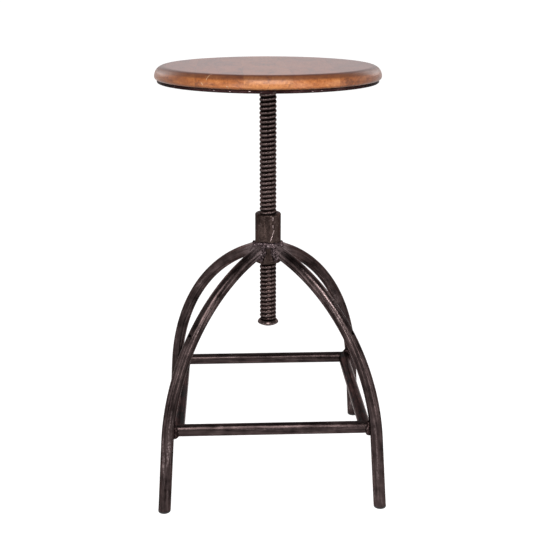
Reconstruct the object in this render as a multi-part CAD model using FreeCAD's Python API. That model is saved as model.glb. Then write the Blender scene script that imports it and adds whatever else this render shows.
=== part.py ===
import FreeCAD, Part
import math
import os

# An adjustable machinist stool: a round wooden seat on a threaded spindle that
# screws up and down in a collar, carried by four bent tube legs and a square
# footrest ring. Millimetres, +Z up. The origin is on the floor, in the middle of
# the four feet, and -Y is the front. The seat is modelled part way up.

# Seat
seat_diameter = 360.0
seat_thickness = 20.5
seat_top_round = 16.0
seat_bottom_round = 4.0
stave_width = 70.0
middle_stave_centre = -7.0
middle_stave_count = 3

# Steel plate under the seat
plate_inset = 4.0
plate_thickness = 5.0
plate_edge_chamfer = 0.8

# Wood screws through the plate
screw_count = 6
screw_ring_diameter = 270.0
screw_diameter = 4.5
screw_grip = 14.0
screw_head_diameter = 9.0
screw_head_height = 3.0
screw_head_round = 1.0
screw_hole_clearance = 0.5
screw_pilot_clearance = 0.05

# Threaded spindle and its stop
spindle_diameter = 28.0
spindle_length = 401.3
spindle_end_chamfer = 1.5
spigot_diameter = 18.0
spigot_clearance = 0.1
spindle_weld_leg = 2.5
stub_diameter = 16.0
rivet_head_diameter = 24.0
rivet_head_height = 2.2
rivet_face_diameter = 13.2
stop_diameter = 36.0
stop_thickness = 8.0
stop_chamfer = 2.8

# Threaded collar
collar_bottom_height = 366.5
collar_height = 83.6
collar_diameter = 43.0
collar_edge_round = 3.0
collar_mouth_chamfer = 1.0
thread_clearance = 0.05
running_clearance = 0.05
spindle_exposed = 214.7

# Legs, each bent once in its own upright plane
leg_diameter = 20.0
tube_wall = 1.6
leg_root_rise = 21.5
leg_root_slope = 23.2
leg_root_straight = 28.4
leg_bend_radius = 312.0
leg_splay = 5.3
vent_hole_diameter = 5.5
vent_hole_height = 277.0

# Footrest ring
rung_diameter = 19.5
rung_height = 130.4
ring_bite = 1.6

# Welds
hub_weld_size = 3.0
hub_band_rise = 34.0
hub_band_radius = 5.0
ring_weld_size = 5.0

# Plugs in the feet
plug_flange = 3.5
plug_edge_round = 1.5
plug_stem = 18.0
plug_collar = 2.2
plug_clearance = 0.1
plug_rib_count = 3
plug_rib_depth = 0.9
plug_rib_land = 1.1

# Sizes that follow from the ones above
seat_radius = seat_diameter / 2
plate_radius = seat_radius - plate_inset
spindle_radius = spindle_diameter / 2
collar_radius = collar_diameter / 2
collar_top = collar_bottom_height + collar_height
leg_radius = leg_diameter / 2
leg_bore_radius = leg_radius - tube_wall
rung_radius = rung_diameter / 2
plate_bottom = collar_top + spindle_exposed
plate_top = plate_bottom + plate_thickness
seat_top = plate_top + seat_thickness
spindle_shoulder = plate_bottom - spindle_length
stop_bottom = spindle_shoulder - stop_thickness
leg_root_height = collar_bottom_height + leg_root_rise

UP = FreeCAD.Vector(0, 0, 1)
ORIGIN = FreeCAD.Vector(0, 0, 0)
EVERY_QUARTER = (45.0, 135.0, 225.0, 315.0)
OVERSHOOT = 1.0  # how far a block that cuts runs past what it cuts
LEG_NAMES = ("back_right", "back_left", "front_left", "front_right")
RUNG_NAMES = ("back", "left", "front", "right")


def rod(radius, bottom, top):
    """An upright round bar on the centre line."""
    return Part.makeCylinder(radius, top - bottom, FreeCAD.Vector(0, 0, bottom))


def turned(outline):
    """A solid of revolution about the centre line, from a closed (radius, height) outline."""
    points = [FreeCAD.Vector(r, 0, z) for r, z in outline]
    face = Part.Face(Part.makePolygon(points + points[:1]))
    return face.revolve(ORIGIN, UP, 360)


def about_centre(shape, degrees):
    """A copy of the shape, turned about the centre line."""
    copy = shape.copy()
    copy.rotate(ORIGIN, UP, degrees)
    return copy


def rounded_rims(shape, radius, height, size):
    """Rounds the circular edges of the given radius that lie at the given height."""
    edges = []
    for edge in shape.Edges:
        curve = edge.Curve
        if not isinstance(curve, Part.Circle):
            continue
        same_radius = abs(curve.Radius - radius) < 0.01
        same_height = abs(curve.Center.z - height) < 0.01
        if same_radius and same_height:
            edges.append(edge)
    return shape.makeFillet(size, edges)


def save(node, shape):
    """Writes one node and prints its volume, so that a lost piece is seen at once."""
    shape = shape.removeSplitter()
    shape.exportStep("parts/" + node + ".step")
    print(node, len(shape.Solids), "solids", round(shape.Volume), "mm3", shape.isValid())


# Seat and plate

def seat_blank():
    """The whole wooden disc with its rounded rim, before it is divided into boards."""
    blank = rod(seat_radius, plate_top, seat_top)
    blank = rounded_rims(blank, seat_radius, seat_top, seat_top_round)
    return rounded_rims(blank, seat_radius, plate_top, seat_bottom_round)


def screw_places():
    """The screws' places on the plate's underside."""
    places = []
    for index in range(screw_count):
        angle = 2 * math.pi * index / screw_count
        x = screw_ring_diameter / 2 * math.cos(angle)
        y = screw_ring_diameter / 2 * math.sin(angle)
        places.append(FreeCAD.Vector(x, y, plate_bottom))
    return places


def screw_bores(radius, bottom, top):
    """Straight bores at every screw, between two heights."""
    bores = []
    for place in screw_places():
        foot = FreeCAD.Vector(place.x, place.y, bottom)
        bores.append(Part.makeCylinder(radius, top - bottom, foot))
    return Part.makeCompound(bores)


def make_staves():
    """Edge-glued boards that run front to back; the outer two take what is left."""
    blank = seat_blank()
    pilot = screw_diameter / 2 + screw_pilot_clearance
    blank = blank.cut(screw_bores(pilot, plate_top, plate_bottom + screw_grip + screw_pilot_clearance))
    first = middle_stave_centre - middle_stave_count * stave_width / 2
    joints = [first + index * stave_width for index in range(middle_stave_count + 1)]
    reach = seat_radius + OVERSHOOT
    sides = [-reach] + joints + [reach]
    for index in range(len(sides) - 1):
        slab = Part.makeBox(
            sides[index + 1] - sides[index],
            2 * reach,
            seat_thickness + 2 * OVERSHOOT,
            FreeCAD.Vector(sides[index], -reach, plate_top - OVERSHOOT),
        )
        save("seat_stave_%d" % (index + 1), blank.common(slab))


def make_plate():
    """The steel disc that carries the boards and takes the spindle's spigot."""
    plate = rod(plate_radius, plate_bottom, plate_top)
    rims = [edge for edge in plate.Edges if isinstance(edge.Curve, Part.Circle)]
    plate = plate.makeChamfer(plate_edge_chamfer, rims)
    plate = plate.cut(rod(spigot_diameter / 2 + spigot_clearance, plate_bottom, plate_top))
    hole = (screw_diameter + screw_hole_clearance) / 2
    save("seat_plate", plate.cut(screw_bores(hole, plate_bottom, plate_top)))


def make_screws():
    """Pan head wood screws, driven up through the plate."""
    head_radius = screw_head_diameter / 2
    head = rod(head_radius, -screw_head_height, 0)
    head = rounded_rims(head, head_radius, -screw_head_height, screw_head_round)
    shank_radius = screw_diameter / 2
    shank_end = screw_grip - shank_radius
    shank = rod(shank_radius, 0, shank_end)
    point = Part.makeCone(shank_radius, 0, shank_radius, FreeCAD.Vector(0, 0, shank_end))
    screw = head.fuse([shank, point]).removeSplitter()
    screws = []
    for place in screw_places():
        copy = screw.copy()
        copy.translate(place)
        screws.append(copy)
    save("seat_screws", Part.makeCompound(screws))


# Spindle, its weld and its stop

def make_spindle():
    """The spindle at its thread's full diameter, with a spigot above and a riveted stub below."""
    spigot = spigot_diameter / 2
    stub = stub_diameter / 2
    head_bottom = stop_bottom - rivet_head_height
    outline = [
        (0, plate_top),
        (spigot, plate_top),
        (spigot, plate_bottom),
        (spindle_radius, plate_bottom),
        (spindle_radius, spindle_shoulder + spindle_end_chamfer),
        (spindle_radius - spindle_end_chamfer, spindle_shoulder),
        (stub, spindle_shoulder),
        (stub, stop_bottom),
        (rivet_head_diameter / 2, stop_bottom),
        (rivet_face_diameter / 2, head_bottom),
        (0, head_bottom),
    ]
    save("spindle", turned(outline))


def make_spindle_weld():
    """The fillet weld between the spindle and the plate's underside."""
    outline = [
        (spindle_radius, plate_bottom),
        (spindle_radius + spindle_weld_leg, plate_bottom),
        (spindle_radius, plate_bottom - spindle_weld_leg),
    ]
    save("spindle_weld", turned(outline))


def make_stop():
    """The thick washer riveted on the spindle's end, which ends the upward travel."""
    outer = stop_diameter / 2
    inner = stub_diameter / 2 + running_clearance
    outline = [
        (inner, stop_bottom),
        (outer - stop_chamfer, stop_bottom),
        (outer, stop_bottom + stop_chamfer),
        (outer, spindle_shoulder - stop_chamfer),
        (outer - stop_chamfer, spindle_shoulder),
        (inner, spindle_shoulder),
    ]
    save("spindle_stop", turned(outline))


# Collar and legs

def make_collar():
    """The threaded collar, modelled with a bore that clears the thread's crests."""
    collar = rod(collar_radius, collar_bottom_height, collar_top)
    collar = rounded_rims(collar, collar_radius, collar_top, collar_edge_round)
    bore = spindle_radius + thread_clearance
    mouth = bore + collar_mouth_chamfer
    outline = [
        (0, collar_bottom_height),
        (mouth, collar_bottom_height),
        (bore, collar_bottom_height + collar_mouth_chamfer),
        (bore, collar_top - collar_mouth_chamfer),
        (mouth, collar_top),
        (0, collar_top),
    ]
    save("threaded_collar", collar.cut(turned(outline)))


def leg_line():
    """Named points of the leg's centre line in the XZ plane.

    It leaves the collar's side in a short straight run, bends once, and ends in a
    straight run that splays out to the floor.
    """
    slope = math.radians(leg_root_slope)
    end_slope = math.radians(90 - leg_splay)
    along_root = FreeCAD.Vector(math.cos(slope), 0, -math.sin(slope))
    collar_side = FreeCAD.Vector(collar_radius, 0, leg_root_height)
    bend_start = collar_side + along_root * leg_root_straight
    centre = bend_start - FreeCAD.Vector(math.sin(slope), 0, math.cos(slope)) * leg_bend_radius

    def on_bend(angle):
        return centre + FreeCAD.Vector(math.sin(angle), 0, math.cos(angle)) * leg_bend_radius

    bend_end = on_bend(end_slope)
    drop = bend_end.z + leg_radius
    return {
        "root": collar_side - along_root * (collar_radius / math.cos(slope)),
        "bend start": bend_start,
        "bend middle": on_bend((slope + end_slope) / 2),
        "bend end": bend_end,
        "bend centre": centre,
        "foot": bend_end + FreeCAD.Vector(drop / math.tan(end_slope), 0, -drop),
    }


def leg_axis_radius(height):
    """How far from the centre line the leg's own axis is, at a given height."""
    line = leg_line()
    bend_end = line["bend end"]
    if height <= bend_end.z:
        return bend_end.x + (bend_end.z - height) * math.tan(math.radians(leg_splay))
    centre = line["bend centre"]
    return centre.x + math.sqrt(leg_bend_radius ** 2 - (height - centre.z) ** 2)


def bent_bar(radius):
    """A round bar along the leg's centre line, still running on past the collar and floor."""
    line = leg_line()
    root = line["root"]
    path = Part.Wire([
        Part.LineSegment(root, line["bend start"]).toShape(),
        Part.Arc(line["bend start"], line["bend middle"], line["bend end"]).toShape(),
        Part.LineSegment(line["bend end"], line["foot"]).toShape(),
    ])
    section = Part.Wire(Part.Circle(root, line["bend start"] - root, radius).toShape())
    return path.makePipeShell([section], True, False)


def below(height):
    """A block that fills everything from well under the floor up to a height."""
    reach = leg_axis_radius(0) + leg_diameter
    depth = height + leg_diameter
    return Part.makeBox(2 * reach, 2 * reach, depth, FreeCAD.Vector(-reach, -reach, height - depth))


def leg_envelope():
    """The leg's outer form, filled, from the collar's side down to its plug."""
    bar = bent_bar(leg_radius)
    return bar.cut([rod(collar_radius, 0, collar_top), below(plug_flange)])


def make_legs():
    """One hollow leg, coped to the collar, with its vent hole, then turned to each corner."""
    leg = leg_envelope().cut(bent_bar(leg_bore_radius))
    vent_start = FreeCAD.Vector(leg_axis_radius(vent_hole_height), 0, vent_hole_height)
    outward = vent_start - leg_line()["bend centre"]
    vent = Part.makeCylinder(vent_hole_diameter / 2, leg_diameter, vent_start, outward)
    leg = leg.cut(vent)
    for name, angle in zip(LEG_NAMES, EVERY_QUARTER):
        save("leg_" + name, about_centre(leg, angle))


def make_plugs():
    """Plastic plugs with a flat flange under the tube and a ribbed stem inside it."""
    floor_radius = leg_axis_radius(0)
    flange_centre = FreeCAD.Vector(floor_radius, 0, 0)
    flange = Part.makeCylinder(leg_radius, plug_flange, flange_centre)
    flange = rounded_rims(flange, leg_radius, 0, plug_edge_round)

    stem_radius = leg_bore_radius - plug_clearance
    root_radius = stem_radius - plug_rib_depth
    rib_step = plug_stem / (plug_rib_count + 1)
    outline = [(0, 0), (stem_radius, 0), (stem_radius, plug_collar)]
    for index in range(plug_rib_count):
        bottom = rib_step * (index + 1)
        outline += [(root_radius, bottom), (stem_radius, bottom), (stem_radius, bottom + plug_rib_land)]
    outline += [(root_radius, plug_stem), (0, plug_stem)]
    stem = turned(outline)
    stem.rotate(ORIGIN, FreeCAD.Vector(0, 1, 0), -leg_splay)
    stem.translate(FreeCAD.Vector(leg_axis_radius(plug_flange), 0, plug_flange))
    stem = stem.cut(below(plug_flange))
    plug = flange.fuse(stem)
    for name, angle in zip(LEG_NAMES, EVERY_QUARTER):
        save("foot_plug_" + name, about_centre(plug, angle))


# Footrest ring

def ring_half():
    """Half the ring's width, between the centre lines of its rungs.

    The ring's mitred corners are let into the legs by the bite.
    """
    leg_offset = leg_axis_radius(rung_height) / math.sqrt(2)
    return leg_offset - rung_radius - (leg_radius - ring_bite) / math.sqrt(2)


def rung_bar(radius):
    """The back rung as a filled bar with mitred ends, at any radius about its centre line."""
    half = ring_half()
    reach = half + 2 * radius
    start = FreeCAD.Vector(-reach, half, rung_height)
    bar = Part.makeCylinder(radius, 2 * reach, start, FreeCAD.Vector(1, 0, 0))
    far = 2 * reach
    wedge = Part.makePolygon([
        FreeCAD.Vector(0, 0, rung_height - far),
        FreeCAD.Vector(far, far, rung_height - far),
        FreeCAD.Vector(-far, far, rung_height - far),
        FreeCAD.Vector(0, 0, rung_height - far),
    ])
    return bar.common(Part.Face(wedge).extrude(UP * 2 * far))


def make_rungs():
    """Four hollow rungs, mitred to each other and let into the legs at the corners."""
    legs = leg_envelope()
    corners = [about_centre(legs, angle) for angle in EVERY_QUARTER[:2]]
    rung = rung_bar(rung_radius).cut(rung_bar(rung_radius - tube_wall)).cut(corners)
    for index, name in enumerate(RUNG_NAMES):
        save("rung_" + name, about_centre(rung, 90 * index))


# Welds

def near_height(height, reach):
    """A slab that keeps only what lies within a reach of a height."""
    wide = leg_axis_radius(0) + leg_diameter
    corner = FreeCAD.Vector(-wide, -wide, height - reach)
    return Part.makeBox(2 * wide, 2 * wide, 2 * reach, corner)


def make_hub_weld():
    """One unbroken weld: a saddle round each leg's root and a bead between the legs."""
    band_height = collar_bottom_height + hub_band_rise
    band = Part.makeTorus(collar_radius, hub_band_radius, FreeCAD.Vector(0, 0, band_height))
    sleeve = rod(collar_radius + hub_weld_size, collar_bottom_height, collar_top)
    saddle = bent_bar(leg_radius + hub_weld_size).common(sleeve)
    saddles = [about_centre(saddle, angle) for angle in EVERY_QUARTER]
    legs = [about_centre(leg_envelope(), angle) for angle in EVERY_QUARTER]
    weld = band.fuse(saddles).cut([rod(collar_radius, 0, seat_top)] + legs)
    save("hub_weld", weld)


def make_ring_welds():
    """The weld at each corner, where the ring's mitre meets its leg."""
    fat_leg = about_centre(bent_bar(leg_radius + ring_weld_size), EVERY_QUARTER[0])
    fat_rung = rung_bar(rung_radius + ring_weld_size)
    fat_corner = fat_rung.fuse(about_centre(fat_rung, -90))
    rung = rung_bar(rung_radius)
    corner = rung.fuse(about_centre(rung, -90))
    leg = about_centre(leg_envelope(), EVERY_QUARTER[0])
    weld = fat_leg.common(fat_corner).common(near_height(rung_height, rung_radius + ring_weld_size))
    weld = weld.cut([leg, corner])
    for index, name in enumerate(LEG_NAMES):
        save("ring_weld_" + name, about_centre(weld, 90 * index))


os.makedirs("parts", exist_ok=True)
make_staves()
make_plate()
make_screws()
make_spindle()
make_spindle_weld()
make_stop()
make_collar()
make_legs()
make_plugs()
make_rungs()
make_hub_weld()
make_ring_welds()
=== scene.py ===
import math
import random

import bmesh
import bpy
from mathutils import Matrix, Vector
from mathutils import noise as perlin


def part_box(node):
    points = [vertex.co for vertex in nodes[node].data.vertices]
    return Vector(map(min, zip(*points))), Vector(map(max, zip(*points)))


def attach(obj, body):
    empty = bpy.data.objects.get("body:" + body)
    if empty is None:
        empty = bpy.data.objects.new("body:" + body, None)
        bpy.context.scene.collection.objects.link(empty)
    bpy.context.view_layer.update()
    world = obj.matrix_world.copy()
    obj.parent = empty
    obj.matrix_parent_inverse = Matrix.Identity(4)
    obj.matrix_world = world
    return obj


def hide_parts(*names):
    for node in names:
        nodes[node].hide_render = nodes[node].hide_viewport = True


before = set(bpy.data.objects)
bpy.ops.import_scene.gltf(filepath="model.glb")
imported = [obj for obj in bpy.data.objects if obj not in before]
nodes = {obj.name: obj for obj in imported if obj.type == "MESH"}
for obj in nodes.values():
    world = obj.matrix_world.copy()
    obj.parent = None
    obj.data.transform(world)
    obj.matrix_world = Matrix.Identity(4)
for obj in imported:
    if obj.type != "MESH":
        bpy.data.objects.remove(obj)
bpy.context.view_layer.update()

# Looks for a machinist stool: worn oiled boards on a lacquered steel frame with a
# coarse screw. Metres, +Z up, -Y is the front.

MM = 0.001
UP = Vector((0, 0, 1))


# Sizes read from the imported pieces

def low(node):
    """A node's lowest corner."""
    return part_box(node)[0]


def high(node):
    """A node's highest corner."""
    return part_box(node)[1]


SEAT_TOP = high("seat_stave_3").z
PLATE_TOP = low("seat_stave_3").z
PLATE_BOTTOM = low("seat_plate").z
SEAT_RADIUS = high("seat_stave_3").y
SEAT_PLATE_RADIUS = high("seat_plate").y
CREST_RADIUS = high("spindle").x
COLLAR_TOP = high("threaded_collar").z
COLLAR_BOTTOM = low("threaded_collar").z
COLLAR_RADIUS = high("threaded_collar").x
STOP_TOP = high("spindle_stop").z
STOP_BOTTOM = low("spindle_stop").z
STOP_RADIUS = high("spindle_stop").x
RIVET_BOTTOM = low("spindle").z
RUNG_RADIUS = (high("rung_front").z - low("rung_front").z) / 2
RUNG_HEIGHT = (high("rung_front").z + low("rung_front").z) / 2
RING_HALF = high("rung_back").y - RUNG_RADIUS

# Sizes that the boxes don't show
SEAT_TOP_ROUND = 16 * MM
THREAD_PITCH = 7.15 * MM
THREAD_CREST_HEIGHT = 639.29 * MM  # a crest's height on the +X side
THREAD_DEPTH = 2.0 * MM
SPIGOT_RADIUS = 9 * MM
STUB_RADIUS = 8 * MM
RIVET_RADIUS = 12 * MM
RIVET_FACE_RADIUS = 6.6 * MM
COLLAR_ROUND = 3 * MM
COLLAR_MOUTH = 1 * MM
BOARD_JOINTS = tuple(place * MM for place in (-112, -42, 28, 98))
LEG_RADIUS = 10 * MM
LEG_ROOT_HEIGHT = 388 * MM
LEG_ROOT_SLOPE = math.radians(23.2)
LEG_ROOT_STRAIGHT = 28.4 * MM
LEG_BEND_RADIUS = 312 * MM
LEG_SPLAY = math.radians(5.3)
LEG_ANGLES = {"back_right": 45, "back_left": 135, "front_left": 225, "front_right": 315}

SCREW_CIRCLE = 135 * MM
SCREW_COUNT = 6

# How far above its height at the collar a leg's line would meet the centre line
HUB_RISE = COLLAR_RADIUS * math.tan(LEG_ROOT_SLOPE)

# The leg's line in its own upright plane, as distance from the centre line and height
BEND_START = Vector((
    COLLAR_RADIUS + LEG_ROOT_STRAIGHT * math.cos(LEG_ROOT_SLOPE),
    LEG_ROOT_HEIGHT - LEG_ROOT_STRAIGHT * math.sin(LEG_ROOT_SLOPE),
))
BEND_CENTRE = BEND_START - LEG_BEND_RADIUS * Vector((math.sin(LEG_ROOT_SLOPE), math.cos(LEG_ROOT_SLOPE)))
BEND_END = BEND_CENTRE + LEG_BEND_RADIUS * Vector((math.cos(LEG_SPLAY), math.sin(LEG_SPLAY)))


# Node graphs

class Graph:
    """A material's node tree with short calls for the nodes used here."""

    def __init__(self, name):
        self.material = bpy.data.materials.new(name)
        self.material.use_nodes = True
        self.tree = self.material.node_tree
        self.shader = self.tree.nodes["Principled BSDF"]
        self.place = self.node("ShaderNodeTexCoord").outputs["Object"]

    def node(self, kind, **settings):
        made = self.tree.nodes.new(kind)
        for name, value in settings.items():
            setattr(made, name, value)
        return made

    def feed(self, socket, value):
        """Links an output to a socket, or sets the socket to a plain value."""
        if isinstance(value, bpy.types.NodeSocket):
            self.tree.links.new(value, socket)
        else:
            socket.default_value = value

    def math(self, operation, a, b=0.0, c=0.0):
        made = self.node("ShaderNodeMath", operation=operation)
        for socket, value in zip(made.inputs, (a, b, c)):
            self.feed(socket, value)
        return made.outputs[0]

    def vector(self, operation, a, b=(0, 0, 0)):
        made = self.node("ShaderNodeVectorMath", operation=operation)
        self.feed(made.inputs[0], a)
        self.feed(made.inputs[1], b)
        gives_number = operation in ("LENGTH", "DOT_PRODUCT")
        return made.outputs["Value"] if gives_number else made.outputs[0]

    def split(self, vector):
        made = self.node("ShaderNodeSeparateXYZ")
        self.feed(made.inputs[0], vector)
        return made.outputs

    def join(self, x, y, z):
        made = self.node("ShaderNodeCombineXYZ")
        for socket, value in zip(made.inputs, (x, y, z)):
            self.feed(socket, value)
        return made.outputs[0]

    def noise(self, place, scale, detail=3.0, roughness=0.5, distortion=0.0):
        """A noise value; the scale is a number, or three numbers to stretch it."""
        if not isinstance(scale, (int, float)):
            place = self.vector("MULTIPLY", place, tuple(scale))
            scale = 1.0
        made = self.node("ShaderNodeTexNoise")
        self.feed(made.inputs["Vector"], place)
        made.inputs["Scale"].default_value = scale
        made.inputs["Detail"].default_value = detail
        made.inputs["Roughness"].default_value = roughness
        made.inputs["Distortion"].default_value = distortion
        return made.outputs["Fac"]

    def span(self, value, start, end, to_start=0.0, end_shade=1.0, smooth=True):
        """Maps a value from one span to another, clamped."""
        made = self.node("ShaderNodeMapRange", interpolation_type="SMOOTHSTEP" if smooth else "LINEAR")
        for socket, given in zip(made.inputs, (value, start, end, to_start, end_shade)):
            self.feed(socket, given)
        return made.outputs[0]

    def colours(self, factor, stops):
        """A colour ramp from (position, colour) stops."""
        made = self.node("ShaderNodeValToRGB")
        ramp = made.color_ramp
        while len(ramp.elements) < len(stops):
            ramp.elements.new(1.0)
        for element, (position, colour) in zip(ramp.elements, stops):
            element.position = position
            element.color = (*colour, 1)
        self.feed(made.inputs[0], factor)
        return made.outputs[0]

    def mix(self, factor, a, b):
        """Mixes two colours."""
        made = self.node("ShaderNodeMix", data_type="RGBA")
        self.feed(made.inputs[0], factor)
        for socket, value in zip((made.inputs[6], made.inputs[7]), (a, b)):
            self.feed(socket, value if isinstance(value, bpy.types.NodeSocket) else (*value, 1))
        return made.outputs[2]

    def bump(self, height, distance, strength=1.0, under=None):
        made = self.node("ShaderNodeBump")
        made.inputs["Strength"].default_value = strength
        made.inputs["Distance"].default_value = distance
        self.feed(made.inputs["Height"], height)
        if under is not None:
            self.feed(made.inputs["Normal"], under)
        return made.outputs[0]

    def strokes(self, marks, ragged=900):
        """1 along thin ragged strokes, each given as (start, end, half width in mm): scratches, chips and
        cracks, and on the collar painted highlight flecks.
        """
        total = 0.0
        for start, end, width in marks:
            along = end - start
            reach = self.vector("SUBTRACT", self.place, tuple(start))
            share = self.vector("DOT_PRODUCT", reach, tuple(along))
            share = self.math("DIVIDE", share, along.length_squared)
            share = self.span(share, 0.0, 1.0, smooth=False)
            nearest = self.vector("MULTIPLY", self.join(share, share, share), tuple(along))
            distance = self.vector("LENGTH", self.vector("SUBTRACT", reach, nearest))
            total = self.math("MAXIMUM", total, self.span(distance, width * MM, 0.3 * width * MM))
        broken = self.span(self.noise(self.place, ragged, detail=2), 0.36, 0.50)
        return self.math("MULTIPLY", total, broken)

    def finish(self, **sockets):
        """Feeds the shader's sockets by name, with underscores for spaces."""
        for name, value in sockets.items():
            self.feed(self.shader.inputs[name.replace("_", " ")], value)
        return self.material


# Places of marks, each an angle from the front in degrees, positive to the right, and a
# distance in millimetres

def around(radius, angle, height):
    """A point at a radius and an angle from the front."""
    turn = math.radians(angle)
    return Vector((radius * math.sin(turn), -radius * math.cos(turn), height))


def on_rim(angle, depth, lift=0.0):
    """A point on the seat's rounded rim, at a depth below its top, or lifted off so that its mark fades."""
    above = max(0.0, SEAT_TOP_ROUND - depth * MM)
    radius = SEAT_RADIUS - SEAT_TOP_ROUND + math.sqrt(SEAT_TOP_ROUND ** 2 - above ** 2)
    return around(radius + lift * MM, angle, SEAT_TOP - depth * MM)


def on_collar(angle, rise):
    """A point on the collar's side, above its lower end."""
    return around(COLLAR_RADIUS, angle, COLLAR_BOTTOM + rise * MM)


def on_plate(angle, rise):
    """A point on the seat plate's edge, above its underside."""
    return around(SEAT_PLATE_RADIUS, angle, PLATE_BOTTOM + rise * MM)


def line_of(place, points, width):
    """Strokes that join a row of (angle, distance) points."""
    spots = [place(*point) for point in points]
    return tuple((start, end, width) for start, end in zip(spots, spots[1:]))


PALE_CHIPS = (
    line_of(on_rim, ((-32.3, 8.1), (-32.1, 4.7), (-31.7, 2.0)), 0.75)
    + line_of(on_rim, ((-31.7, 2.0), (-30.7, 0.6)), 0.70)
    + line_of(on_rim, ((-34.7, 12.5), (-34.0, 15.3)), 0.80)
    + line_of(on_rim, ((-21.5, 16.1), (-20.4, 18.5)), 0.85)
)
DARK_CRACK = line_of(on_rim, ((-2.6, 6.8, 1.5), (-1.6, 12.3, 0.4), (-2.7, 18.3)), 0.55)
# The collar's scratch, then two rows of painted highlight flecks on its right front side.
COLLAR_SCRATCH_AND_GLINTS = (
    line_of(on_collar, ((24.5, 57.6), (9.4, 40.4)), 0.75)
    + line_of(on_collar, ((20.1, 79.5), (19.9, 74.5)), 0.85)
    + line_of(on_collar, ((19.9, 66.5), (19.9, 62.0)), 0.80)
)


def scuff(angle, rise):
    """A straight scrape across the seat plate's edge, which only its middle reaches."""
    middle = on_plate(angle, rise)
    half = Vector((3.5 * MM, 0, 0))
    lean = Vector((0, math.copysign(0.35 * MM, angle), 0))
    return middle - half, middle + half - lean, 0.6


PLATE_SCUFFS = (scuff(-28.5, 2.7), scuff(-20.4, 2.3), scuff(-10.8, 3.1),
                scuff(19.0, 1.9), scuff(23.7, 2.7), scuff(32.7, 1.4))


# Wood

RING_WIDTH = 5.8 * MM
PALE_WOOD = (0.72, 0.50, 0.29)
# Painted shade for the rim's shoulder
SHOULDER_SHADE = (0.085, 0.026, 0.010)
# Darkening for the boards' lower edge
LOW_EDGE_DARK = (0.060, 0.020, 0.009)
GLUE = (0.055, 0.020, 0.010)
CRACK = (0.09, 0.030, 0.012)


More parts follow.
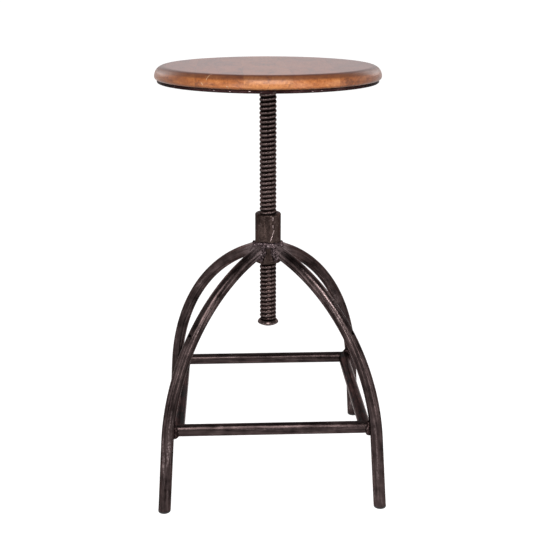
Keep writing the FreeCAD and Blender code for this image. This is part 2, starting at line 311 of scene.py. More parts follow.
def wood(name, shift, pith, dark, mid, light, pale_marks=(), dark_marks=()):
    """Oiled boards with grain along Y, so that their front and back rims show end grain."""
    g = Graph(name)
    place = g.vector("ADD", g.place, shift)
    x, y, z = g.split(place)

    sway = g.noise(place, (8, 2.4, 8), detail=3, distortion=0.5)
    ripple = g.noise(place, (75, 8, 75), detail=4, roughness=0.6)
    pith_x, pith_z = pith
    from_pith = g.join(g.math("SUBTRACT", x, pith_x), 0.0, g.math("SUBTRACT", z, pith_z))
    from_pith = g.vector("LENGTH", from_pith)
    from_pith = g.math("ADD", from_pith, g.math("MULTIPLY", sway, 0.060))
    from_pith = g.math("ADD", from_pith, g.math("MULTIPLY", ripple, 0.0075))
    ring = g.math("FRACT", g.math("DIVIDE", from_pith, RING_WIDTH))
    late = g.math("MULTIPLY", g.span(ring, 0.25, 0.95), g.span(ring, 1.0, 0.93))
    late = g.math("MULTIPLY", late, g.span(g.noise(place, (16, 5, 16), detail=2), 0.38, 0.66, 0.15, 1.0))

    pores = g.span(g.noise(place, (950, 55, 950), detail=2), 0.58, 0.72)
    fibres = g.noise(place, (420, 22, 420), detail=4, roughness=0.65)
    blotch = g.noise(place, (30, 15, 44), detail=5, roughness=0.62, distortion=0.8)
    fleck = g.noise(place, (190, 70, 190), detail=4, roughness=0.68)
    stain = g.span(g.noise(place, (95, 40, 120), detail=4, roughness=0.7, distortion=0.6), 0.54, 0.70)

    tone = g.math("MULTIPLY_ADD", late, -0.12, 0.54)
    tone = g.math("ADD", tone, g.math("MULTIPLY_ADD", blotch, 1.15, -0.575))
    tone = g.math("ADD", tone, g.math("MULTIPLY_ADD", fibres, 0.44, -0.22))
    tone = g.math("ADD", tone, g.math("MULTIPLY_ADD", fleck, 0.66, -0.33))
    tone = g.math("SUBTRACT", tone, g.math("MULTIPLY", pores, 0.18))
    tone = g.math("SUBTRACT", tone, g.math("MULTIPLY", stain, 0.20))
    colour = g.colours(tone, [(0.14, dark), (0.50, mid), (0.88, light)])

    x0, y0, z0 = g.split(g.place)
    radial = g.vector("LENGTH", g.join(x0, y0, 0.0))
    # Painted shade: a dark band on the rim's shoulder, just below the flat top.
    edge = g.math("MULTIPLY_ADD", blotch, 0.004, z0)
    near_edge = g.span(radial, SEAT_RADIUS - 18 * MM, SEAT_RADIUS - 11 * MM)
    near_top = g.span(edge, SEAT_TOP - 7.0 * MM, SEAT_TOP - 2.5 * MM)
    shoulder_shade = g.math("MULTIPLY", near_edge, near_top)
    colour = g.mix(g.math("MULTIPLY", shoulder_shade, 0.72), colour, SHOULDER_SHADE)
    # Darker towards the boards' lower edge, in patches.
    low_edge = g.span(z0, PLATE_TOP + 3.5 * MM, PLATE_TOP + 0.5 * MM)
    low_edge = g.math("MULTIPLY", low_edge, g.span(fleck, 0.35, 0.60))
    colour = g.mix(g.math("MULTIPLY", low_edge, 0.6), colour, LOW_EDGE_DARK)
    for joint in BOARD_JOINTS:
        seam = g.span(g.math("ABSOLUTE", g.math("SUBTRACT", x0, joint)), 0.45 * MM, 0.10 * MM)
        colour = g.mix(g.math("MULTIPLY", seam, 0.22), colour, GLUE)
    # Painted shade: the boards darken towards the seat's left and right ends.
    wavering = g.math("ADD", x0, g.math("MULTIPLY_ADD", blotch, 60 * MM, -30 * MM))
    end_shade = g.span(g.math("ABSOLUTE", wavering), 85 * MM, SEAT_RADIUS)
    colour = g.mix(g.math("MULTIPLY", end_shade, 0.42), colour, dark)
    height = g.math("SUBTRACT", g.math("MULTIPLY", fibres, 0.5), g.math("MULTIPLY", pores, 0.8))
    if pale_marks:
        pale = g.strokes(pale_marks)
        colour = g.mix(pale, colour, PALE_WOOD)
        height = g.math("SUBTRACT", height, g.math("MULTIPLY", pale, 1.5))
    if dark_marks:
        crack = g.strokes(dark_marks, ragged=500)
        colour = g.mix(g.math("MULTIPLY", crack, 0.75), colour, CRACK)
        height = g.math("SUBTRACT", height, g.math("MULTIPLY", crack, 1.5))

    upward = g.split(g.node("ShaderNodeNewGeometry").outputs["Normal"])[2]
    polished = g.span(upward, 0.80, 0.98, 0.40, 0.85)
    rough = g.math("MULTIPLY_ADD", fibres, 0.22, 0.26)
    rough = g.math("ADD", rough, g.math("MULTIPLY", pores, 0.2))
    rough = g.math("ADD", rough, g.math("MULTIPLY", shoulder_shade, 0.15))
    normal = g.bump(height, 0.0002, 0.6)
    normal = g.bump(g.noise(place, (34, 12, 40), detail=3), 0.0012, 0.4, normal)
    return g.finish(Base_Color=colour, Roughness=rough, Normal=normal, Specular_IOR_Level=0.28,
                    Coat_Weight=polished, Coat_Roughness=0.30, Coat_IOR=1.42,
                    Coat_Tint=(0.50, 0.32, 0.36, 1.0))


DARK_WOOD = (0.120, 0.036, 0.012)
MID_WOOD = (0.430, 0.148, 0.036)
LIGHT_WOOD = (0.660, 0.290, 0.095)

WOODS = {
    "seat_stave_1": wood("wood_1", (0.31, 0.07, 0.0), (0.16, 0.55), DARK_WOOD, MID_WOOD, LIGHT_WOOD),
    "seat_stave_2": wood("wood_2", (0.05, 0.42, 0.03), (-0.02, 0.60), DARK_WOOD, MID_WOOD, LIGHT_WOOD,
                         pale_marks=PALE_CHIPS),
    "seat_stave_3": wood("wood_3", (0.17, 0.23, 0.09), (0.26, 0.70), (0.175, 0.058, 0.018),
                         (0.500, 0.200, 0.058), (0.720, 0.345, 0.120), dark_marks=DARK_CRACK),
    "seat_stave_4": wood("wood_4", (0.62, 0.11, 0.06), (0.60, 0.62), DARK_WOOD, MID_WOOD, LIGHT_WOOD),
    "seat_stave_5": wood("wood_5", (0.44, 0.35, 0.02), (0.62, 0.58), (0.100, 0.030, 0.011),
                         (0.350, 0.122, 0.036), (0.600, 0.255, 0.085)),
}


# Steel

def leg_place(g, degrees):
    """Coordinates that follow a leg: distance along its line, then the place round its tube."""
    turn = math.radians(degrees)
    x, y, z = g.split(g.place)
    out = g.math("ADD", g.math("MULTIPLY", x, math.cos(turn)), g.math("MULTIPLY", y, math.sin(turn)))
    across = g.math("MULTIPLY", y, math.cos(turn))
    across = g.math("SUBTRACT", across, g.math("MULTIPLY", x, math.sin(turn)))
    reach = g.math("SUBTRACT", out, BEND_CENTRE.x)
    rise = g.math("SUBTRACT", z, BEND_CENTRE.y)
    angle = g.math("ARCTAN2", rise, reach)
    squares = g.math("ADD", g.math("POWER", reach, 2.0), g.math("POWER", rise, 2.0))
    away = g.math("SUBTRACT", g.math("SQRT", squares), LEG_BEND_RADIUS)
    drop = g.math("SUBTRACT", BEND_END.y, z)
    splayed = g.math("MULTIPLY", drop, math.tan(LEG_SPLAY))
    straight_away = g.math("SUBTRACT", g.math("SUBTRACT", out, BEND_END.x), splayed)
    straight = g.math("GREATER_THAN", drop, 0.0)
    away = g.math("ADD", g.math("MULTIPLY", straight, straight_away),
                  g.math("MULTIPLY", g.math("SUBTRACT", 1.0, straight), away))
    along_bend = g.math("MULTIPLY", g.math("SUBTRACT", angle, LEG_SPLAY), LEG_BEND_RADIUS)
    along = g.math("ADD", g.math("MULTIPLY", straight, g.math("MULTIPLY", drop, -1.0)),
                   g.math("MULTIPLY", g.math("SUBTRACT", 1.0, straight), along_bend))
    round_tube = g.math("ARCTAN2", across, away)
    return g.join(along, g.math("MULTIPLY", g.math("COSINE", round_tube), LEG_RADIUS),
                  g.math("MULTIPLY", g.math("SINE", round_tube), LEG_RADIUS))


LACQUER_TINT = (0.36, 0.29, 0.28, 1.0)
# Painted shade with oily dirt for the thread's roots
THREAD_ROOT_SHADE_AND_OIL = (0.0025, 0.0014, 0.0013)
WORN_CREST = (0.135, 0.100, 0.096)
GROUND_STEEL = (0.170, 0.128, 0.130)


def steel(name, lengthwise=None, shift=(0, 0, 0), dark=(0.0100, 0.0066, 0.0064),
          light=(0.105, 0.074, 0.072), rubbed_and_glints=(0.42, 0.325, 0.32), wear=0.6, gloss=0.19,
          grain=1.0, marks=(), thread=False, ground=False):
    """Raw steel under a dark clear lacquer.

    lengthwise turns the streaks along the piece, thread paints shade and oily dirt into the
    thread's roots and brightens its crests, and ground brightens the steel next to the hub's weld.
    """
    g = Graph(name)
    place = lengthwise(g) if lengthwise else g.place
    place = g.vector("ADD", place, shift)
    stretch = (0.07, 1, 1) if lengthwise else (1, 1, 1)

    def stretched(scale):
        return tuple(scale * part for part in stretch)

    streaks = g.noise(place, stretched(330), detail=4, roughness=0.6)
    scale_marks = g.noise(place, stretched(150), detail=5, roughness=0.68, distortion=0.3)
    patches = g.noise(g.place, 38, detail=4, roughness=0.62)
    pits = g.noise(g.place, 700, detail=2, roughness=0.6)
    speckle = g.noise(g.place, 430, detail=3, roughness=0.7)

    tone = g.math("MULTIPLY_ADD", streaks, 1.1, -0.55)
    tone = g.math("ADD", tone, g.math("MULTIPLY_ADD", patches, 1.3, -0.20))
    tone = g.math("ADD", tone, g.math("MULTIPLY_ADD", scale_marks, 0.7, -0.35))
    middle = tuple(0.6 * a + 0.4 * b for a, b in zip(dark, light))
    colour = g.colours(tone, [(0.15, dark), (0.55, middle), (0.92, light)])

    bare_and_glints = g.span(scale_marks, 0.60 - 0.12 * wear, 0.78 - 0.12 * wear)
    bare_and_glints = g.math("MULTIPLY", bare_and_glints, g.span(speckle, 0.42, 0.62))
    bare_and_glints = g.math("MULTIPLY", bare_and_glints, wear)
    # Marks add to the bare patches: scratches and scuffs, and on the collar painted highlight flecks.
    if marks:
        bare_and_glints = g.math("MAXIMUM", bare_and_glints, g.strokes(marks))
    colour = g.mix(bare_and_glints, colour, rubbed_and_glints)

    if thread:
        x, y, z = g.split(g.place)
        radial = g.vector("LENGTH", g.join(x, y, 0.0))
        # Painted shade with oily dirt in the thread's roots.
        root = g.span(radial, CREST_RADIUS - 0.9 * MM, CREST_RADIUS - 1.7 * MM)
        colour = g.mix(g.math("MULTIPLY", root, 0.85), colour, THREAD_ROOT_SHADE_AND_OIL)
        crest = g.math("MULTIPLY", g.span(radial, CREST_RADIUS - 0.50 * MM, CREST_RADIUS - 0.12 * MM),
                       g.span(speckle, 0.30, 0.62, 0.15, 0.75))
        colour = g.mix(crest, colour, WORN_CREST)

    rough = g.math("MULTIPLY_ADD", patches, 0.20, gloss - 0.10)
    rough = g.math("ADD", rough, g.math("MULTIPLY_ADD", speckle, 0.16, -0.08))
    metal = g.math("MULTIPLY_ADD", bare_and_glints, 0.15, 0.80)
    if ground:
        x, y, z = g.split(g.place)
        near_hub = g.span(g.vector("LENGTH", g.join(x, y, 0.0)), 60 * MM, 24 * MM)
        brushed = g.math("ADD", streaks, g.math("MULTIPLY_ADD", speckle, 0.6, -0.3))
        near_hub = g.math("MULTIPLY", near_hub, g.span(brushed, 0.34, 0.66, 0.25, 1.0))
        colour = g.mix(near_hub, colour, GROUND_STEEL)
        rough = g.math("MULTIPLY_ADD", near_hub, 0.22, rough)
        metal = g.math("MULTIPLY_ADD", near_hub, -0.45, metal)
    small = g.math("ADD", g.math("MULTIPLY", pits, 0.6), g.math("MULTIPLY", streaks, 0.6))
    fine = g.bump(small, 0.22 * MM, 0.5 * grain)
    large = g.math("ADD", scale_marks, g.math("MULTIPLY", speckle, 0.5))
    normal = g.bump(large, 0.7 * MM, 0.35 * grain, fine)
    return g.finish(Base_Color=colour, Metallic=metal, Roughness=rough, Normal=normal,
                    Specular_IOR_Level=0.25, Specular_Tint=LACQUER_TINT)


def along_x(g):
    return g.place


def along_y(g):
    x, y, z = g.split(g.place)
    return g.join(y, x, z)


def leg_steel(corner):
    degrees = LEG_ANGLES[corner]
    return steel("lacquered_leg_" + corner, lambda g: leg_place(g, degrees),
                 shift=(degrees * 0.01, 0, 0), ground=True)


LEG_STEEL = {corner: leg_steel(corner) for corner in LEG_ANGLES}
RUNG_STEEL_X = steel("lacquered_rung_x", along_x, wear=0.45)
RUNG_STEEL_Y = steel("lacquered_rung_y", along_y, shift=(0.7, 0, 0), wear=0.45)
COLLAR_STEEL = steel("lacquered_collar", dark=(0.012, 0.0075, 0.0066), light=(0.078, 0.053, 0.046),
                     wear=0.42, gloss=0.24, marks=COLLAR_SCRATCH_AND_GLINTS)
SPINDLE_STEEL = steel("lacquered_thread", dark=(0.0080, 0.0043, 0.0040), light=(0.085, 0.054, 0.049),
                      wear=0.30, gloss=0.20, grain=0.5, thread=True)
PLATE_STEEL = steel("lacquered_plate", dark=(0.0110, 0.0042, 0.0045), light=(0.040, 0.019, 0.019),
                    wear=0.35, gloss=0.36, marks=PLATE_SCUFFS)
WELD_STEEL = steel("lacquered_weld", dark=(0.018, 0.0115, 0.0125), light=(0.135, 0.098, 0.104),
                   rubbed_and_glints=(0.50, 0.41, 0.42), wear=0.7, gloss=0.20)
RING_WELD_STEEL = steel("lacquered_ring_weld", dark=(0.0075, 0.0040, 0.0040),
                        light=(0.070, 0.044, 0.043), wear=0.5, gloss=0.22)


def zinc():
    """Dull zinc on the wood screws."""
    g = Graph("dull_zinc")
    spots = g.noise(g.place, 900, detail=3)
    cloud = g.noise(g.place, 160, detail=2)
    colour = g.colours(g.math("ADD", g.math("MULTIPLY", spots, 0.5), g.math("MULTIPLY", cloud, 0.5)),
                       [(0.3, (0.17, 0.165, 0.16)), (0.7, (0.42, 0.41, 0.39))])
    rough = g.math("MULTIPLY_ADD", spots, 0.3, 0.25)
    return g.finish(Base_Color=colour, Metallic=0.9, Roughness=rough, Normal=g.bump(spots, 0.0001, 0.4))


def plastic():
    """Moulded black polyethylene with scuffs and dust near the floor."""
    g = Graph("black_polyethylene")
    fine = g.noise(g.place, 1500, detail=2)
    scuff = g.span(g.noise(g.place, (260, 260, 900), detail=4, roughness=0.7), 0.52, 0.7)
    height = g.split(g.place)[2]
    dusty = g.math("MULTIPLY", scuff, g.span(height, 3.5 * MM, 0.0, 0.2, 0.9))
    colour = g.mix(dusty, (0.013, 0.011, 0.011), (0.10, 0.092, 0.085))
    rough = g.math("MULTIPLY_ADD", fine, 0.2, 0.42)
    return g.finish(Base_Color=colour, Roughness=rough, Normal=g.bump(fine, 0.1 * MM, 0.4),
                    Specular_IOR_Level=0.4)


ZINC = zinc()
PLASTIC = plastic()


# Meshes

def add(name, vertices, faces, material, body, node, sharp=35):
    """A new piece that stands for a CAD node and rides on its body."""
    mesh = bpy.data.meshes.new(name)
    mesh.from_pydata(vertices, [], faces)
    mesh.validate()
    return place_mesh(name, mesh, material, body, node, sharp)


def place_mesh(name, mesh, material, body, node, sharp=35):
    tidy = bmesh.new()
    tidy.from_mesh(mesh)
    bmesh.ops.recalc_face_normals(tidy, faces=tidy.faces)
    tidy.to_mesh(mesh)
    tidy.free()
    mesh.shade_smooth()
    mesh.set_sharp_from_angle(angle=math.radians(sharp))
    mesh.materials.clear()
    mesh.materials.append(material)
    piece = bpy.data.objects.new(name, mesh)
    bpy.context.scene.collection.objects.link(piece)
    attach(piece, body)
    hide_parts(node)
    return piece


def lathe_rows(rows, columns, wrap=False):
    """Points and faces of a turned form, whose rows give (radius, height) at each angle.

    A row is a function of the angle. The first and last rows close on the centre
    line, or on each other where the form wraps.
    """
    angles = [2 * math.pi * k / columns for k in range(columns)]
    points = []
    for row in rows:
        for angle in angles:
            radius, height = row(angle)
            points.append((radius * math.cos(angle), radius * math.sin(angle), height))
    faces = []
    count = len(rows)
    for r in range(count if wrap else count - 1):
        a = r * columns
        b = (r + 1) % count * columns
        for k in range(columns):
            n = (k + 1) % columns
            faces.append((a + k, a + n, b + n, b + k))
    if not wrap:
        for start, flip in ((0, True), ((count - 1) * columns, False)):
            loop = [start + k for k in range(columns)]
            faces.append(tuple(reversed(loop)) if flip else tuple(loop))
    return points, faces


def plain(radius, height):
    return lambda angle: (radius, height)


def thread_radius(angle, height):
    """The spindle thread's surface: rounded crests and tighter roots, right-handed."""
    turns = (height - THREAD_CREST_HEIGHT) / THREAD_PITCH - angle / (2 * math.pi)
    wave = abs(math.cos(math.pi * turns)) ** 0.8
    return CREST_RADIUS - THREAD_DEPTH * (1 - wave)


def nick(angle, height, size, seed):
    """A small seeded unevenness, from -1 to 1."""
    point = Vector((math.cos(angle) * CREST_RADIUS, math.sin(angle) * CREST_RADIUS, height)) / size
    return perlin.noise(point + Vector((seed, seed * 0.37, -seed)))


def make_spindle():
    """The spindle with its helical thread, its spigot and its riveted end."""
    columns = 72
    step = THREAD_PITCH / 16
    start = STOP_TOP + 0.6 * MM
    end = PLATE_BOTTOM
    rows = [plain(0.5 * MM, RIVET_BOTTOM), plain(RIVET_FACE_RADIUS, RIVET_BOTTOM + 0.1 * MM),
            plain(RIVET_RADIUS - 1.2 * MM, RIVET_BOTTOM + 1.3 * MM),
            plain(RIVET_RADIUS, STOP_BOTTOM - 0.02 * MM),
            plain(STUB_RADIUS, STOP_BOTTOM), plain(STUB_RADIUS, STOP_TOP)]

    def threaded(height):
        def row(angle):
            fade = min(1.0, max(0.0, (height - start) / (0.4 * THREAD_PITCH)))
            root = CREST_RADIUS - THREAD_DEPTH
            radius = root + (thread_radius(angle, height) - root) * fade
            worn = 0.10 * MM * max(0.0, nick(angle, height, 5 * MM, 3.1) + 0.2)
            dent = 0.35 * MM * max(0.0, nick(angle, height, 2.6 * MM, 8.7) - 0.42)
            return radius - worn - dent, height
        return row

    count = int((end - start) / step)
    rows += [threaded(start + (end - start) * k / count) for k in range(count + 1)]
    rows += [plain(SPIGOT_RADIUS, PLATE_BOTTOM), plain(SPIGOT_RADIUS, PLATE_TOP), plain(0.5 * MM, PLATE_TOP)]
    points, faces = lathe_rows(rows, columns)
    add("spindle_threaded", points, faces, SPINDLE_STEEL, "seat", "spindle", sharp=50)


def make_collar():
    """The collar with its rounded rim, worn sides and the matching thread inside."""
    columns = 96
    clearance = 0.22 * MM
    bore = CREST_RADIUS + clearance
    rows = []

    def outer(radius, height):
        def row(angle):
            sag = 0.10 * MM * nick(angle, height, 9 * MM, 1.7)
            dent = 0.30 * MM * max(0.0, nick(angle, height, 4.5 * MM, 5.2) - 0.38)
            return radius - 0.05 * MM + min(sag, 0.05 * MM) - dent, height
        return row

    side_rows = 46
    side_bottom = COLLAR_BOTTOM + 0.8 * MM
    side_height = COLLAR_TOP - COLLAR_ROUND - side_bottom
    rows.append(outer(COLLAR_RADIUS - 0.8 * MM, COLLAR_BOTTOM))
    rows += [outer(COLLAR_RADIUS, side_bottom + side_height * k / side_rows) for k in range(side_rows + 1)]
    for degrees in range(10, 91, 10):
        turn = math.radians(degrees)
        radius = COLLAR_RADIUS - COLLAR_ROUND * (1 - math.cos(turn))
        rows.append(outer(radius, COLLAR_TOP - COLLAR_ROUND * (1 - math.sin(turn))))
    rows.append(plain(bore + COLLAR_MOUTH, COLLAR_TOP))

    def inner(height):
        def row(angle):
            from_mouth = min(COLLAR_TOP - height, height - COLLAR_BOTTOM)
            flare = bore + COLLAR_MOUTH - from_mouth
            return max(flare, thread_radius(angle, height) + clearance), height
        return row

    step = THREAD_PITCH / 14
    count = int((COLLAR_TOP - COLLAR_BOTTOM) / step)
    rows += [inner(COLLAR_TOP - (COLLAR_TOP - COLLAR_BOTTOM) * (k + 0.5) / count) for k in range(count)]
    rows.append(plain(bore + COLLAR_MOUTH, COLLAR_BOTTOM))
    points, faces = lathe_rows(rows, columns, wrap=True)
    add("collar_threaded", points, faces, COLLAR_STEEL, "base", "threaded_collar", sharp=40)


def make_stop():
    """The bevelled stop washer, hammered a little out of true."""
    columns = 96
    inner = STUB_RADIUS + 0.05 * MM
    middle = (STOP_TOP + STOP_BOTTOM) / 2 - 0.6 * MM
    outline = [(inner, STOP_BOTTOM), (STOP_RADIUS - 5.2 * MM, STOP_BOTTOM + 0.1 * MM),
               (STOP_RADIUS - 3 * MM, STOP_BOTTOM + 0.9 * MM),
               (STOP_RADIUS - 1.2 * MM, STOP_BOTTOM + 2.0 * MM), (STOP_RADIUS - 0.2 * MM, middle - 0.5 * MM),
               (STOP_RADIUS, middle + 0.3 * MM), (STOP_RADIUS - 0.4 * MM, middle + 1.2 * MM),
               (STOP_RADIUS - 2.0 * MM, STOP_TOP - 1.2 * MM), (STOP_RADIUS - 3.6 * MM, STOP_TOP - 0.3 * MM),
               (STOP_RADIUS - 5 * MM, STOP_TOP), (inner, STOP_TOP)]

    def lumpy(radius, height):
        def row(angle):
            if radius < STOP_RADIUS - 4.5 * MM:
                return radius, height
            lump = 0.55 * MM * (nick(angle, height, 11 * MM, 2.2) - 0.45)
            return min(radius + lump, STOP_RADIUS), height
        return row

    rows = [lumpy(radius, height) for radius, height in outline]
    points, faces = lathe_rows(rows, columns, wrap=True)
    add("stop_washer", points, faces, SPINDLE_STEEL, "lift", "spindle_stop", sharp=60)


# Welds, built up from overlapping drops of metal

def skin_over(name, source, voxel, smoothing, lump, seed):
    """One closed molten skin over rough metal, with seeded lumps."""
    mesh = bpy.data.meshes.new(name)
    source.to_mesh(mesh)
    source.free()
    holder = bpy.data.objects.new(name + "_rough", mesh)
    bpy.context.scene.collection.objects.link(holder)
    remesh = holder.modifiers.new("skin", "REMESH")
    remesh.mode = "VOXEL"
    remesh.voxel_size = voxel
    soften = holder.modifiers.new("soften", "SMOOTH")
    soften.iterations = smoothing
    soften.factor = 0.5
    bpy.context.view_layer.update()
    skin = bpy.data.meshes.new_from_object(holder.evaluated_get(bpy.context.evaluated_depsgraph_get()))
    skin.name = name
    bpy.data.objects.remove(holder)
    bpy.data.meshes.remove(mesh)
    shift = Vector((seed, -seed, 0.5 * seed))
    moved = [vertex.co + vertex.normal * perlin.noise(vertex.co / (3.2 * MM) + shift) * lump
             for vertex in skin.vertices]
    skin.vertices.foreach_set("co", [part for point in moved for part in point])
    skin.update()
    return skin


def add_drops(rough, drops):
    """Adds flattened drops to rough metal, each (centre, along, out, sizes)."""
    for centre, along, out, sizes in drops:
        made = bmesh.ops.create_icosphere(rough, subdivisions=2, radius=1.0)
        side = along.cross(out).normalized()
        for vertex in made["verts"]:
            co = vertex.co.copy()
            vertex.co = centre + along * co.x * sizes[0] + side * co.y * sizes[1] + out * co.z * sizes[2]


def saddle_point(turn, way):
    """A point on the collar where a leg's root meets it, the way round the leg given as an angle."""
    outward = Vector((math.cos(turn), math.sin(turn), 0))
    sideways = Vector((-math.sin(turn), math.cos(turn), 0))
    across = LEG_RADIUS * math.sin(way)
    depth = math.sqrt(COLLAR_RADIUS ** 2 - across ** 2)
    rise = LEG_RADIUS * math.cos(way) / math.cos(LEG_ROOT_SLOPE)
    rise += (COLLAR_RADIUS - depth) * math.tan(LEG_ROOT_SLOPE)
    return outward * depth + sideways * across + UP * (LEG_ROOT_HEIGHT + rise)


def leg_direction(turn):
    """The direction in which a leg leaves the collar."""
    outward = Vector((math.cos(turn), math.sin(turn), 0))
    return outward * math.cos(LEG_ROOT_SLOPE) - UP * math.sin(LEG_ROOT_SLOPE)


# Lumps beside a leg's root: height in mm, degrees from the leg, and half width in mm
ROOT_LUMPS = ((396, 24, 3.8), (391, 23, 3.7), (385, 22, 3.6), (379.5, 20, 3.5), (374, 16, 3.0))
# Lumps on a leg's flanks: distance from the collar and drop, in mm
FLANK_LUMPS = ((3.5, 0.5), (6.0, 2.0), (8.5, 4.5), (5.5, 7.5))


def make_hub_weld():
    """Saddles round the four roots, lumps down their flanks and a two-pass bead between them."""
    rng = random.Random(41)
    drops = []
    for degrees in LEG_ANGLES.values():
        turn = math.radians(degrees)
        axis = leg_direction(turn)
        root = UP * LEG_ROOT_HEIGHT
        steps = 30
        for k in range(steps):
            way = 2 * math.pi * k / steps
            here = saddle_point(turn, way)
            ahead = saddle_point(turn, way + 0.05)
            along = (ahead - here).normalized()
            radial = Vector((here.x, here.y, 0)).normalized()
            middle = root + axis * (here - root).dot(axis)
            out = (radial + (here - middle).normalized()).normalized()
            size = rng.uniform(2.2, 2.9) * MM * (0.95 + 0.10 * abs(math.sin(way)) - 0.10 * math.cos(way))
            centre = here + out * rng.uniform(0.2, 0.8) * MM
            drops.append((centre, along, out, (size, size * 1.35, size)))
        for side in (-1, 1):
            for height, spread, half in ROOT_LUMPS:
                azimuth = turn + side * math.radians(spread + rng.uniform(-1.5, 1.5))
                radial = Vector((math.cos(azimuth), math.sin(azimuth), 0))
                across = Vector((-math.sin(azimuth), math.cos(azimuth), 0.0))
                size = half * rng.uniform(0.9, 1.08) * MM
                centre = radial * (COLLAR_RADIUS + 3.0 * MM) + UP * height * MM
                drops.append((centre, across, radial, (size * 0.95, size * 1.1, size * 0.85)))
            flank = Vector((-math.sin(turn), math.cos(turn), 0)) * side
            for distance, drop in FLANK_LUMPS:
                reach = (COLLAR_RADIUS + distance * MM) / math.cos(LEG_ROOT_SLOPE)
                centre = root + axis * reach + UP * HUB_RISE
                centre += flank * (LEG_RADIUS - 0.6 * MM) - UP * drop * MM
                size = rng.uniform(2.6, 3.3) * MM
                drops.append((centre, axis, flank, (size * 1.2, size, size * 0.62)))
    for height, shift in ((396.5, 0.0), (401.0, 2.4)):
        steps = 54
        for k in range(steps):
            turn = 2 * math.pi * (k + rng.uniform(-0.15, 0.15)) / steps
            radial = Vector((math.cos(turn), math.sin(turn), 0))
            along = Vector((-math.sin(turn), math.cos(turn), 0.0))
            sideways = math.cos(turn) ** 2
            size = rng.uniform(3.0, 3.7) * MM * (1 - 0.28 * sideways)
            wander = 0.8 * math.sin(3 * turn + shift) + rng.uniform(-0.3, 0.3) - 3.2 * sideways
            centre = radial * (COLLAR_RADIUS + rng.uniform(0.2, 0.9) * MM) + UP * (height + wander) * MM
            drops.append((centre, along, radial, (size * 0.75, size * 1.1, size)))
    rough = bmesh.new()
    add_drops(rough, drops)
    skin = skin_over("hub_weld_beads", rough, 0.6 * MM, 4, 0.5 * MM, 3.3)
    place_mesh("hub_weld_beads", skin, WELD_STEEL, "base", "hub_weld", sharp=180)


def make_ring_welds():
    """Fillets that fill the gap between each leg and the ring's mitred corner."""
    leg_out = BEND_END.x + (BEND_END.y - RUNG_HEIGHT) * math.tan(LEG_SPLAY)
    mitre_out = RING_HALF * math.sqrt(2)
    widest_gap = 7.0 * MM
    for corner, degrees in LEG_ANGLES.items():
        rng = random.Random(degrees)
        turn = math.radians(degrees)
        radial = Vector((math.cos(turn), math.sin(turn), 0))
        across = Vector((-math.sin(turn), math.cos(turn), 0))
        drops = []
        for row in range(-5, 6):
            height = row / 5 * 0.94 * RUNG_RADIUS
            rung_out = math.sqrt(RUNG_RADIUS ** 2 - height ** 2)
            leg_here = leg_out - height * math.tan(LEG_SPLAY)
            for column in range(-5, 6):
                side = column * 1.35 * MM
                leg_face = leg_here - math.sqrt(LEG_RADIUS ** 2 - side ** 2)
                ring_face = mitre_out + math.sqrt(2) * rung_out - abs(side)
                gap = leg_face - ring_face
                if gap > widest_gap:
                    continue
                size = max(gap, 0.0) / 2 + rng.uniform(1.0, 1.5) * MM
                centre = radial * (leg_face + ring_face) / 2 + across * side + UP * (RUNG_HEIGHT + height)
                drops.append((centre, UP, radial, (size, size * 1.1, size)))
        rough = bmesh.new()
        add_drops(rough, drops)
        name = "ring_weld_bead_" + corner
        skin = skin_over(name, rough, 0.5 * MM, 4, 0.35 * MM, degrees * 0.1)
        place_mesh(name, skin, RING_WELD_STEEL, "base", "ring_weld_" + corner, sharp=180)


def make_spindle_weld():
    """The bead between the spindle and the plate."""
    rng = random.Random(7)
    drops = []
    steps = 34
    for k in range(steps):
        turn = 2 * math.pi * k / steps
        radial = Vector((math.cos(turn), math.sin(turn), 0))
        along = Vector((-math.sin(turn), math.cos(turn), 0.0))
        out = (radial - UP).normalized()
        size = rng.uniform(2.0, 2.5) * MM
        centre = radial * (CREST_RADIUS + 0.1 * MM) + UP * (PLATE_BOTTOM - 0.3 * MM)
        drops.append((centre, along, out, (size * 0.8, size, size)))
    rough = bmesh.new()
    add_drops(rough, drops)
    skin = skin_over("spindle_weld_bead", rough, 0.45 * MM, 1, 0.15 * MM, 1.9)
    place_mesh("spindle_weld_bead", skin, WELD_STEEL, "seat", "spindle_weld", sharp=180)


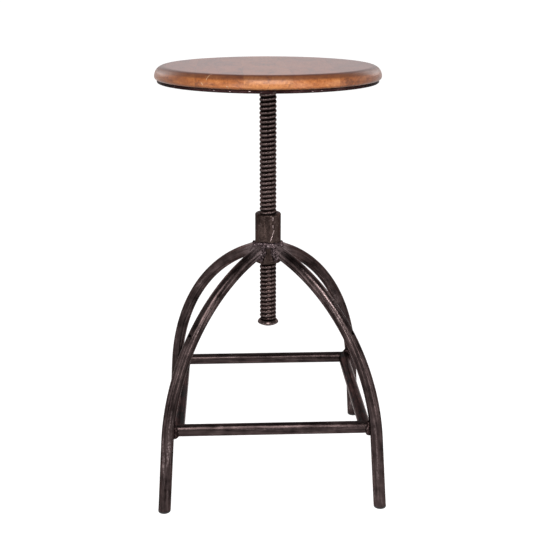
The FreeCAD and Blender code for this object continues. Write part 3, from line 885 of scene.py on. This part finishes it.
def make_screws():
    """Pan head wood screws with a crossed recess, each turned its own way."""
    rng = random.Random(23)
    columns = 48
    head, rise, round_edge, shank, grip = 4.5 * MM, 3.0 * MM, 1.0 * MM, 2.25 * MM, 14.0 * MM
    recess, arm, slit = 1.3 * MM, 2.1 * MM, 0.45 * MM
    points = []
    faces = []

    def dished(radius):
        def row(angle):
            x, y = abs(radius * math.cos(angle)), abs(radius * math.sin(angle))
            sunk = min(max(0.0, (arm - max(x, y)) / slit), max(0.0, (slit * 1.6 - min(x, y)) / slit), 1.0)
            return radius, -rise + recess * sunk * min(1.0, 0.35 + max(0.0, 1 - radius / arm))
        return row

    rows = [dished(0.1 * MM + 0.2 * MM * k) for k in range(17)]
    for degrees in range(10, 91, 20):
        turn = math.radians(degrees)
        radius = head - round_edge * (1 - math.sin(turn))
        rows.append(plain(radius, -rise + round_edge * (1 - math.cos(turn))))
    rows += [plain(head, -0.15 * MM), plain(head - 0.15 * MM, 0.0), plain(shank, 0.0),
             plain(shank, grip - shank), plain(0.15 * MM, grip)]
    form, form_faces = lathe_rows(rows, columns)
    for index in range(SCREW_COUNT):
        way = 2 * math.pi * index / SCREW_COUNT
        middle_x = SCREW_CIRCLE * math.cos(way)
        middle_y = SCREW_CIRCLE * math.sin(way)
        turn = rng.uniform(0, math.pi / 2)
        start = len(points)
        for x, y, z in form:
            points.append((middle_x + x * math.cos(turn) - y * math.sin(turn),
                           middle_y + x * math.sin(turn) + y * math.cos(turn), PLATE_BOTTOM + z))
        faces += [tuple(start + k for k in face) for face in form_faces]
    add("screws_crossed", points, faces, ZINC, "seat", "seat_screws", sharp=40)


make_spindle()
make_collar()
make_stop()
make_hub_weld()
make_spindle_weld()
make_ring_welds()
make_screws()

def paint(node, material):
    """Gives a carried-over CAD piece its material."""
    nodes[node].data.materials.clear()
    nodes[node].data.materials.append(material)


for name, material in WOODS.items():
    paint(name, material)
for corner in LEG_ANGLES:
    paint("leg_" + corner, LEG_STEEL[corner])
    paint("foot_plug_" + corner, PLASTIC)
paint("rung_front", RUNG_STEEL_X)
paint("rung_back", RUNG_STEEL_X)
paint("rung_left", RUNG_STEEL_Y)
paint("rung_right", RUNG_STEEL_Y)
paint("seat_plate", PLATE_STEEL)


# Floor, light and camera

def floor_material():
    """A pale floor that keeps the object's shadow and reads as white to the camera."""
    material = bpy.data.materials.new("pale_floor")
    material.use_nodes = True
    tree = material.node_tree
    tree.nodes.clear()
    out = tree.nodes.new("ShaderNodeOutputMaterial")
    diffuse = tree.nodes.new("ShaderNodeBsdfDiffuse")
    glow = tree.nodes.new("ShaderNodeEmission")
    both = tree.nodes.new("ShaderNodeAddShader")
    path = tree.nodes.new("ShaderNodeLightPath")
    seen = tree.nodes.new("ShaderNodeMath")
    seen.operation = "MAXIMUM"
    also = tree.nodes.new("ShaderNodeMath")
    also.operation = "MAXIMUM"
    amount = tree.nodes.new("ShaderNodeMath")
    amount.operation = "MULTIPLY"
    place = tree.nodes.new("ShaderNodeTexCoord")
    away = tree.nodes.new("ShaderNodeVectorMath")
    away.operation = "LENGTH"
    spread = tree.nodes.new("ShaderNodeMapRange")
    spread.interpolation_type = "SMOOTHSTEP"
    spread.inputs["From Min"].default_value = 0.4
    spread.inputs["From Max"].default_value = 3.0
    spread.inputs["To Min"].default_value = 0.90
    spread.inputs["To Max"].default_value = 1.0
    diffuse.inputs["Color"].default_value = (0.38, 0.38, 0.38, 1)
    links = tree.links
    links.new(path.outputs["Is Camera Ray"], seen.inputs[0])
    links.new(path.outputs["Is Glossy Ray"], seen.inputs[1])
    links.new(seen.outputs[0], also.inputs[0])
    links.new(path.outputs["Is Transmission Ray"], also.inputs[1])
    links.new(place.outputs["Object"], away.inputs[0])
    links.new(away.outputs["Value"], spread.inputs["Value"])
    links.new(also.outputs[0], amount.inputs[0])
    links.new(spread.outputs["Result"], amount.inputs[1])
    links.new(amount.outputs[0], glow.inputs["Strength"])
    links.new(diffuse.outputs[0], both.inputs[0])
    links.new(glow.outputs[0], both.inputs[1])
    links.new(both.outputs[0], out.inputs["Surface"])
    return material


def make_floor():
    """A floor wide enough to run to the horizon."""
    reach = 60.0
    corners = [(-reach, -reach, 0), (reach, -reach, 0), (reach, reach, 0), (-reach, reach, 0)]
    mesh = bpy.data.meshes.new("floor")
    mesh.from_pydata(corners, [], [(0, 1, 2, 3)])
    mesh.materials.append(floor_material())
    floor = bpy.data.objects.new("floor", mesh)
    bpy.context.scene.collection.objects.link(floor)


def make_world(ambient, ceiling):
    """An even surround: white to the camera, white low down in reflections, and dimmer as light."""
    world = bpy.data.worlds.new("studio")
    bpy.context.scene.world = world
    world.use_nodes = True
    tree = world.node_tree
    background = tree.nodes["Background"]
    path = tree.nodes.new("ShaderNodeLightPath")
    place = tree.nodes.new("ShaderNodeTexCoord")
    parts = tree.nodes.new("ShaderNodeSeparateXYZ")
    mirrored = tree.nodes.new("ShaderNodeMapRange")
    mirrored.interpolation_type = "SMOOTHSTEP"
    mirrored.inputs["From Min"].default_value = 0.30
    mirrored.inputs["From Max"].default_value = 0.60
    mirrored.inputs["To Min"].default_value = 1.0
    mirrored.inputs["To Max"].default_value = ceiling
    also = tree.nodes.new("ShaderNodeMath")
    also.operation = "MAXIMUM"
    off_camera = tree.nodes.new("ShaderNodeMapRange")
    off_camera.inputs["To Min"].default_value = ambient
    seen = tree.nodes.new("ShaderNodeMapRange")
    seen.inputs["To Max"].default_value = 1.0
    background.inputs["Color"].default_value = (1, 1, 1, 1)
    tree.links.new(place.outputs["Generated"], parts.inputs[0])
    tree.links.new(parts.outputs["Z"], mirrored.inputs["Value"])
    tree.links.new(path.outputs["Is Glossy Ray"], also.inputs[0])
    tree.links.new(path.outputs["Is Transmission Ray"], also.inputs[1])
    tree.links.new(also.outputs[0], off_camera.inputs["Value"])
    tree.links.new(mirrored.outputs["Result"], off_camera.inputs["To Max"])
    tree.links.new(path.outputs["Is Camera Ray"], seen.inputs["Value"])
    tree.links.new(off_camera.outputs["Result"], seen.inputs["To Min"])
    tree.links.new(seen.outputs["Result"], background.inputs["Strength"])


def softbox(name, azimuth, elevation, distance, width, height, radiance, aim_height=0.45):
    """A rectangular lamp at an azimuth from the front, turned to the stool."""
    light = bpy.data.lights.new(name, "AREA")
    light.shape = "RECTANGLE"
    light.size = width
    light.size_y = height
    light.energy = radiance * math.pi * width * height
    lamp = bpy.data.objects.new(name, light)
    turn = math.radians(azimuth)
    rise = math.radians(elevation)
    away = Vector((math.sin(turn) * math.cos(rise), -math.cos(turn) * math.cos(rise), math.sin(rise)))
    lamp.location = Vector((0, 0, aim_height)) + away * distance
    lamp.rotation_mode = "QUATERNION"
    lamp.rotation_quaternion = (-away).to_track_quat("-Z", "Y")
    lamp.visible_camera = False
    bpy.context.scene.collection.objects.link(lamp)


# The camera, solved from the photo's edges: pixels, metres and degrees
PHOTO_WIDTH = 536
FOCAL_PIXELS = 968.38
SENSOR_WIDTH = 36.0
CAMERA_PLACE = (-0.0670, -1.5592, 0.8254)
CAMERA_DOWN = 16.81
CAMERA_TURN = -2.46


def make_camera():
    camera_data = bpy.data.cameras.new("camera")
    camera_data.sensor_width = SENSOR_WIDTH
    camera_data.lens = FOCAL_PIXELS * SENSOR_WIDTH / PHOTO_WIDTH
    camera = bpy.data.objects.new("camera", camera_data)
    camera.location = CAMERA_PLACE
    camera.rotation_euler = (math.radians(90 - CAMERA_DOWN), 0, math.radians(CAMERA_TURN))
    bpy.context.scene.collection.objects.link(camera)
    bpy.context.scene.camera = camera


# Upright strip lamps: name, degrees from the front, width in metres and radiance
STRIPS = (("softbox_near_left", -30, 0.24, 8.5), ("softbox_near_right", 28, 0.24, 8.5),
          ("softbox_left", -62, 0.34, 3.0), ("softbox_right", 64, 0.34, 3.0))
STRIP_ELEVATION = 9.6
STRIP_DISTANCE = 1.85
STRIP_HEIGHT = 1.45

bpy.context.scene.view_settings.view_transform = "Standard"
make_camera()
make_floor()
make_world(0.16, 0.30)
for name, azimuth, width, radiance in STRIPS:
    softbox(name, azimuth, STRIP_ELEVATION, STRIP_DISTANCE, width, STRIP_HEIGHT, radiance)
softbox("softbox_front_high", 0, 50, 1.6, 0.75, 0.90, 8.5, 0.34)
softbox("softbox_back_left", -140, 25, 2.4, 0.9, 0.9, 2.5)
softbox("softbox_back_right", 140, 25, 2.4, 0.9, 0.9, 2.5)
